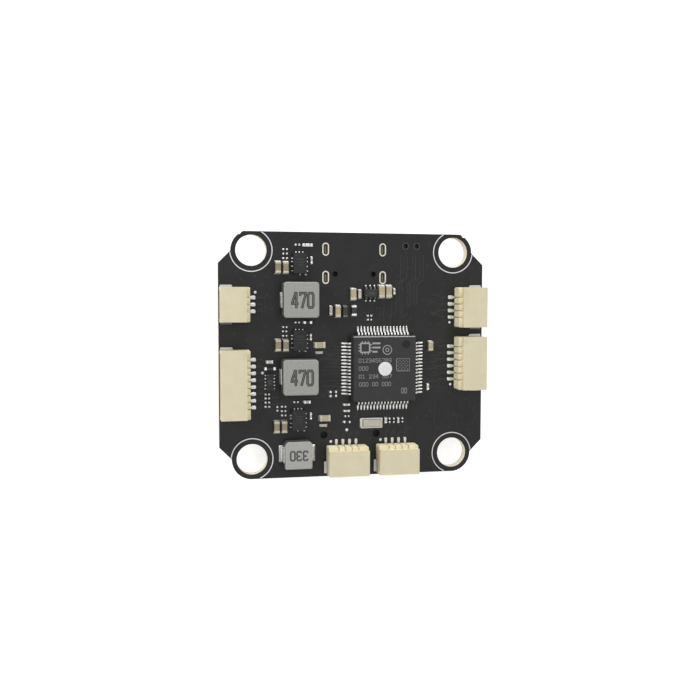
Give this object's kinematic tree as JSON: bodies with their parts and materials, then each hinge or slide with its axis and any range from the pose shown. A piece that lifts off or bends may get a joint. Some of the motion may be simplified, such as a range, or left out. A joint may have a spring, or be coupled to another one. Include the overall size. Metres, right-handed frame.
{
  "type": "flight controller board",
  "caption": "Square four-hole flight controller board with a 64-lead microcontroller, power inductors, side-entry wire connectors, USB-C and card sockets and a side-push boot button.",
  "frame": {"origin": "centre of the 30.5 mm square mounting-hole pattern in X and Y, and the lowest point of the USB-C shell in Z, where the board lies flat with its microcontroller side up", "axes": "+Z out of the microcontroller side, +X along the 40 mm edge towards the four-contact and six-contact connectors, +Y towards the USB-C edge"},
  "size_m": [0.04, 0.0364, 0.0077],
  "materials": {
    "solder_mask": "satin charcoal solder mask over glass-epoxy laminate",
    "chip_moulding": "fine matte epoxy moulding",
    "tin_plate": "matte tin plating",
    "connector_ivory": "satin ivory nylon",
    "inductor_powder": "speckled grey pressed powder",
    "copper_winding": "enamelled copper with tinned ends",
    "white_ceramic": "fired ceramic",
    "crystal_can": "satin metal lid",
    "capacitor_ceramic": "fired tan ceramic with tin ends",
    "steel_shell": "bright pressed stainless sheet",
    "black_plastic": "satin black glass-filled plastic",
    "gold_contact": "gold-flashed contact",
    "button_key": "satin off-white plastic"
  },
  "bodies": {
    "board": {"circuit_board": "solder_mask", "mcu_body": "chip_moulding", "mcu_lead_frame": "tin_plate", "conn_left_upper_housing": "connector_ivory", "conn_left_upper_contacts": "tin_plate", "conn_left_upper_tab_a": "tin_plate", "conn_left_upper_tab_b": "tin_plate", "conn_left_lower_housing": "connector_ivory", "conn_left_lower_contacts": "tin_plate", "conn_left_lower_tab_a": "tin_plate", "conn_left_lower_tab_b": "tin_plate", "conn_right_upper_housing": "connector_ivory", "conn_right_upper_contacts": "tin_plate", "conn_right_upper_tab_a": "tin_plate", "conn_right_upper_tab_b": "tin_plate", "conn_right_lower_housing": "connector_ivory", "conn_right_lower_contacts": "tin_plate", "conn_right_lower_tab_a": "tin_plate", "conn_right_lower_tab_b": "tin_plate", "conn_front_left_housing": "connector_ivory", "conn_front_left_contacts": "tin_plate", "conn_front_left_tab_a": "tin_plate", "conn_front_left_tab_b": "tin_plate", "conn_front_right_housing": "connector_ivory", "conn_front_right_contacts": "tin_plate", "conn_front_right_tab_a": "tin_plate", "conn_front_right_tab_b": "tin_plate", "inductor_rear_core": "inductor_powder", "inductor_rear_winding": "copper_winding", "inductor_middle_core": "inductor_powder", "inductor_middle_winding": "copper_winding", "inductor_front_core": "inductor_powder", "inductor_front_winding": "copper_winding", "crystal_base": "white_ceramic", "crystal_lid": "crystal_can", "buck_ic_rear": "chip_moulding", "buck_ic_middle": "chip_moulding", "buck_ic_front": "chip_moulding", "supply_chip_body": "chip_moulding", "supply_chip_leads": "tin_plate", "filter_array": "chip_moulding", "capacitor_rear_a": "capacitor_ceramic", "capacitor_rear_b": "capacitor_ceramic", "capacitor_middle_a": "capacitor_ceramic", "capacitor_middle_b": "capacitor_ceramic", "capacitor_front_a": "capacitor_ceramic", "capacitor_front_b": "capacitor_ceramic", "capacitor_supply_a": "capacitor_ceramic", "capacitor_supply_b": "capacitor_ceramic", "usb_shell": "steel_shell", "usb_insert": "black_plastic", "usb_contacts": "gold_contact", "card_socket_base": "black_plastic", "card_socket_cover": "steel_shell", "card_socket_contacts": "gold_contact", "motion_sensor": "chip_moulding", "boot_switch_base": "black_plastic", "boot_switch_cover": "steel_shell", "boot_switch_spring": "steel_shell"},
    "boot_key": {"boot_switch_key": "button_key"}
  },
  "joints": [
    {"name": "boot_press", "type": "slide", "parent": "board", "child": "boot_key", "axis": [0, -1, 0], "range_m": [0, 0.00025], "stiffness_N_per_m": 4000}
  ]
}
